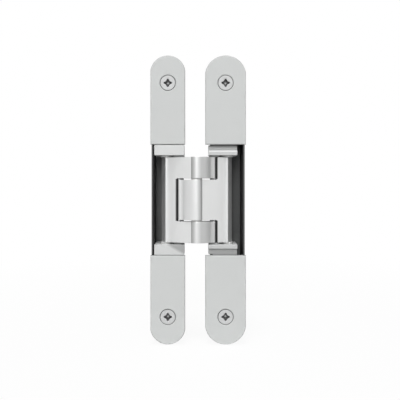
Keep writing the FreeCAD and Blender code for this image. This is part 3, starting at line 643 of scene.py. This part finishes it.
def screw_tree():
    """Wood screws at both ends of a leaf: head, cross recess, neck, thread and tip."""
    group = bpy.data.node_groups.new("fixing_screws", "GeometryNodeTree")
    group.interface.new_socket("Screws", in_out="OUTPUT", socket_type="NodeSocketGeometry")
    for name, value in SCREW_SIZES.items():
        entry = group.interface.new_socket(name, in_out="INPUT", socket_type="NodeSocketFloat")
        entry.default_value = value
    group.interface.new_socket("Finish", in_out="INPUT", socket_type="NodeSocketMaterial")
    wiring = Wiring(group)
    entry = group.nodes.new("NodeGroupInput")
    size = {name: Value(wiring, entry.outputs[name]) for name in [*SCREW_SIZES, "Finish"]}

    def sheet(rows, around):
        """Grid whose first side runs along the section and whose second turns round it."""
        grid = wiring.add(
            "GeometryNodeMeshGrid",
            {},
            {"Size X": 1.0, "Size Y": 1.0, "Vertices X": rows, "Vertices Y": around},
        )
        place = wiring.add("GeometryNodeInputPosition")
        split = wiring.add("ShaderNodeSeparateXYZ", {}, {0: place})
        run = split + 0.5
        turn = Value(wiring, split.socket.node.outputs[1]) + 0.5
        return grid, run, turn

    def placed(grid, radius, depth, turn):
        """The grid's points set round the screw's middle line."""
        angle = turn * (2 * math.pi)
        x = radius * angle.math("COSINE", angle)
        z = radius * angle.math("SINE", angle)
        place = wiring.add("ShaderNodeCombineXYZ", {}, {0: x, 1: depth - SEAT_DEPTH, 2: z})
        return wiring.add("GeometryNodeSetPosition", {}, {"Geometry": grid, "Position": place})

    grid, run, turn = sheet(SHAFT_ROWS, SHAFT_POINTS)
    depth = size["Head face"] + run * (size["Length"] - size["Head face"])
    cone = size["Head radius"] - (depth - size["Head face"])
    winding = (depth / size["Pitch"] - turn).part()
    ridge = (1.0 - abs(winding - 0.5) * THREAD_SHARPNESS).above(0.0)
    start = ((depth - size["Thread start"]) / size["Pitch"]).above(0.0).below(1.0)
    lift = (size["Thread radius"] - size["Root radius"]) * ridge
    root = size["Neck radius"] + (size["Root radius"] - size["Neck radius"] + lift) * start
    left = (size["Length"] - depth) / size["Tip"]
    taper = left.above(TIP_FLAT).below(1.0) ** TIP_ROUNDING
    shaft = placed(grid, cone.above(root * taper), depth, turn)

    grid, run, turn = sheet(TOP_ROWS, TOP_POINTS)
    reach = size["Recess reach"]
    waist = size["Recess waist"]
    quarter_turns = turn * (4 * math.pi)
    wave = abs(quarter_turns.math("COSINE", quarter_turns))
    star = waist + (reach - waist) * wave ** CROSS_NARROWING
    radius = run * (size["Head radius"] - TOP_RIM)
    sunk = ((star - radius) / (star * RECESS_WALL_SHARE)).above(0.0).below(1.0)
    past_rim = ((run - TOP_RIM_START) / (1.0 - TOP_RIM_START)).above(0.0)
    soft_rim = past_rim * TOP_RIM_DROP
    depth = size["Head face"] * TOP_HEIGHT_SHARE + sunk * size["Recess depth"] + soft_rim
    top = placed(grid, radius, depth, turn)

    whole = wiring.add("GeometryNodeJoinGeometry")
    for part in (shaft, top):
        group.links.new(part.socket, whole.socket.node.inputs[0])
    sealed = wiring.add(
        "GeometryNodeMergeByDistance",
        {},
        {"Geometry": whole, "Distance": SEAM},
    )
    smooth = wiring.add(
        "GeometryNodeSetShadeSmooth",
        {},
        {"Geometry": sealed, "Shade Smooth": True},
    )
    low = wiring.add("ShaderNodeCombineXYZ", {}, {0: size["Across"], 2: size["Height"] * -1.0})
    step = wiring.add("ShaderNodeCombineXYZ", {}, {2: size["Height"] * 2.0})
    ends = wiring.add(
        "GeometryNodeMeshLine",
        {"mode": "OFFSET"},
        {"Count": 2, "Start Location": low, "Offset": step},
    )
    copies = wiring.add("GeometryNodeInstanceOnPoints", {}, {"Points": ends, "Instance": smooth})
    solid = wiring.add("GeometryNodeRealizeInstances", {}, {"Geometry": copies})
    done = wiring.add(
        "GeometryNodeSetMaterial",
        {},
        {"Geometry": solid, "Material": size["Finish"]},
    )
    exit_node = group.nodes.new("NodeGroupOutput")
    group.links.new(done.socket, exit_node.inputs[0])
    return group


def made_by(group, name, settings):
    """Plain mesh of a tree's result with these inputs."""
    holder = bpy.data.objects.new(name, bpy.data.meshes.new(name))
    bpy.context.scene.collection.objects.link(holder)
    modifier = holder.modifiers.new(name, "NODES")
    modifier.node_group = group
    for entry in group.interface.items_tree:
        if entry.in_out == "INPUT" and entry.name in settings:
            modifier[entry.identifier] = settings[entry.name]
    mesh = plain_mesh(holder)
    shape = bmesh.new()
    shape.from_mesh(mesh)
    bmesh.ops.recalc_face_normals(shape, faces=shape.faces)
    shape.to_mesh(mesh)
    shape.free()
    return mesh


screws = screw_tree()
for side, across in (("frame", 0.0), ("door", -LEAF_SPACING)):
    name = side + "_wood_screws"
    mesh = made_by(screws, name, {"Across": across, "Finish": FINISHES["screw_zinc"]})
    piece_from(name, mesh, side, "screw_zinc", side + "_screws")


# Machined and cast pieces, eased along their edges

CAST_EDGE = 0.3 * MM
MACHINED_EDGE = 0.2 * MM

for node, body, slot, edge in (
    ("frame_body", "frame", "dark_casting", CAST_EDGE),
    ("door_body", "door", "dark_casting", CAST_EDGE),
    ("frame_arm", "frame_arm", "arm_satin", MACHINED_EDGE),
    ("door_arm", "door_arm", "arm_satin", MACHINED_EDGE),
    ("frame_carrier_upper", "frame_carriers", "block_satin", MACHINED_EDGE),
    ("frame_carrier_lower", "frame_carriers", "block_satin", MACHINED_EDGE),
    ("door_carrier_upper", "door", "block_satin", MACHINED_EDGE),
    ("door_carrier_lower", "door", "block_satin", MACHINED_EDGE),
    ("side_slide_upper", "side_slides", "block_satin", MACHINED_EDGE),
    ("side_slide_lower", "side_slides", "block_satin", MACHINED_EDGE),
):
    eased(node, body, slot, edge)


# Pieces that stay as the solids show them

slots = {part["node"]: part["material_slot"] for part in frame["record"]["subparts"]}
for node, thing in frame["nodes"].items():
    if not thing.hide_render:
        thing.data.materials.clear()
        thing.data.materials.append(FINISHES[slots[node]])


# Floor, white surroundings and soft light

WORLD_LIGHT = 0.12
WORLD_MIRRORED = 0.8
RIGHT_START = 0.8
RIGHT_FADE = 6.0
RIGHT_DIMMING = 0.5
FLOOR_SIZE = 4.0
FLOOR_GAP = 0.5 * MM
FLOOR_COLOUR = (0.85, 0.85, 0.85, 1)
FLOOR_WHITE = 0.94
FLOOR_FADE_START = 0.15
FLOOR_FADE = 3.0
LIGHT_DISTANCE = 4.0


def ray_kinds(wiring):
    """Whether the camera sees a place directly, in a reflection or through something clear."""
    outputs = wiring.add("ShaderNodeLightPath").socket.node.outputs
    kinds = ("Is Camera Ray", "Is Glossy Ray", "Is Transmission Ray")
    return [Value(wiring, outputs[kind]) for kind in kinds]


def pale_stage():
    """Floor that reads as white and keeps a faint shadow."""
    bpy.ops.mesh.primitive_plane_add(size=FLOOR_SIZE, location=(0, 0, cad_low.z - FLOOR_GAP))
    floor = bpy.context.object
    floor.name = "studio_floor"
    material = bpy.data.materials.new("studio_white")
    material.use_nodes = True
    wiring = Wiring(material.node_tree)
    wiring.tree.nodes.clear()
    direct, mirrored, clear = ray_kinds(wiring)
    seen = largest(direct, mirrored, clear)
    card = wiring.add("ShaderNodeBsdfDiffuse", {}, {"Color": FLOOR_COLOUR})
    glow = wiring.add("ShaderNodeEmission", {}, {"Strength": 1.0})
    place = wiring.add("ShaderNodeTexCoord", output=3)
    away = wiring.add("ShaderNodeVectorMath", {"operation": "LENGTH"}, {0: place}, 1)
    far = ((away - FLOOR_FADE_START) * FLOOR_FADE).above(0.0).below(1.0)
    white = FLOOR_WHITE + far * (1.0 - FLOOR_WHITE)
    shown = wiring.add("ShaderNodeMixShader", {}, {0: seen * white, 1: card, 2: glow})
    wiring.add("ShaderNodeOutputMaterial", {}, {"Surface": shown})
    floor.data.materials.append(material)


def white_world():
    """White behind the object, and an even, weaker light on it."""
    world = bpy.data.worlds.new("studio")
    bpy.context.scene.world = world
    world.use_nodes = True
    wiring = Wiring(world.node_tree)
    wiring.tree.nodes.clear()
    direct, mirrored, clear = ray_kinds(wiring)
    towards = wiring.add("ShaderNodeTexCoord")
    right = split_place(wiring, towards)[0]
    to_right = ((right - RIGHT_START) * RIGHT_FADE).above(0.0).below(1.0)
    dimmed = mirrored * (WORLD_MIRRORED - to_right * RIGHT_DIMMING)
    seen = largest(direct, dimmed, clear)
    strength = WORLD_LIGHT + seen * (1.0 - WORLD_LIGHT)
    light = wiring.add("ShaderNodeBackground", {}, {"Color": (1, 1, 1, 1), "Strength": strength})
    wiring.add("ShaderNodeOutputWorld", {}, {"Surface": light})


def soft_light(name, turn, lift, width, height, power):
    """Flat area light, turned to the right of the front and lifted by these degrees."""
    lamp = bpy.data.lights.new(name, "AREA")
    lamp.shape = "RECTANGLE"
    lamp.size = width
    lamp.size_y = height
    lamp.energy = power
    holder = bpy.data.objects.new(name, lamp)
    bpy.context.scene.collection.objects.link(holder)
    turn = math.radians(turn)
    lift = math.radians(lift)
    level = math.cos(lift)
    aim = Vector((math.sin(turn) * level, -math.cos(turn) * level, math.sin(lift)))
    holder.location = Vector((MIRROR_X, 0, 0)) + aim * LIGHT_DISTANCE
    holder.rotation_euler = (-aim).to_track_quat("-Z", "Y").to_euler()


pale_stage()
white_world()
soft_light("top_softbox", turn=-8, lift=74, width=0.9, height=0.9, power=104.0)
soft_light("front_strip", turn=-5, lift=30, width=0.8, height=2.8, power=57.0)
soft_light("left_softbox", turn=-62, lift=20, width=1.2, height=1.6, power=3.0)
soft_light("right_softbox", turn=49, lift=15, width=0.5, height=0.8, power=5.5)


# Camera: where the mirror line and the eye's height fall in the picture, and its scale

PICTURE_PIXELS = 400
PIXELS_PER_METRE = 1446.5
MIRROR_PIXEL = 196.7
HORIZON_PIXEL = 186.0
VIEW_DISTANCE = 380 * MM
EYE_HEIGHT = 9.64 * MM
SENSOR_WIDTH = 36.0


def front_camera():
    """Camera before the covers, square to them, with the object placed by shifts."""
    middle = PICTURE_PIXELS / 2
    lens = bpy.data.cameras.new("camera")
    lens.sensor_width = SENSOR_WIDTH
    lens.lens = PIXELS_PER_METRE * VIEW_DISTANCE / PICTURE_PIXELS * SENSOR_WIDTH
    lens.shift_x = (middle - MIRROR_PIXEL) / PICTURE_PIXELS
    lens.shift_y = (HORIZON_PIXEL - middle) / PICTURE_PIXELS
    camera = bpy.data.objects.new("camera", lens)
    bpy.context.scene.collection.objects.link(camera)
    camera.location = (MIRROR_X, -SEAT_DEPTH - VIEW_DISTANCE, EYE_HEIGHT)
    camera.rotation_euler = (math.radians(90), 0, 0)
    bpy.context.scene.camera = camera


front_camera()
bpy.context.scene.view_settings.view_transform = "Standard"
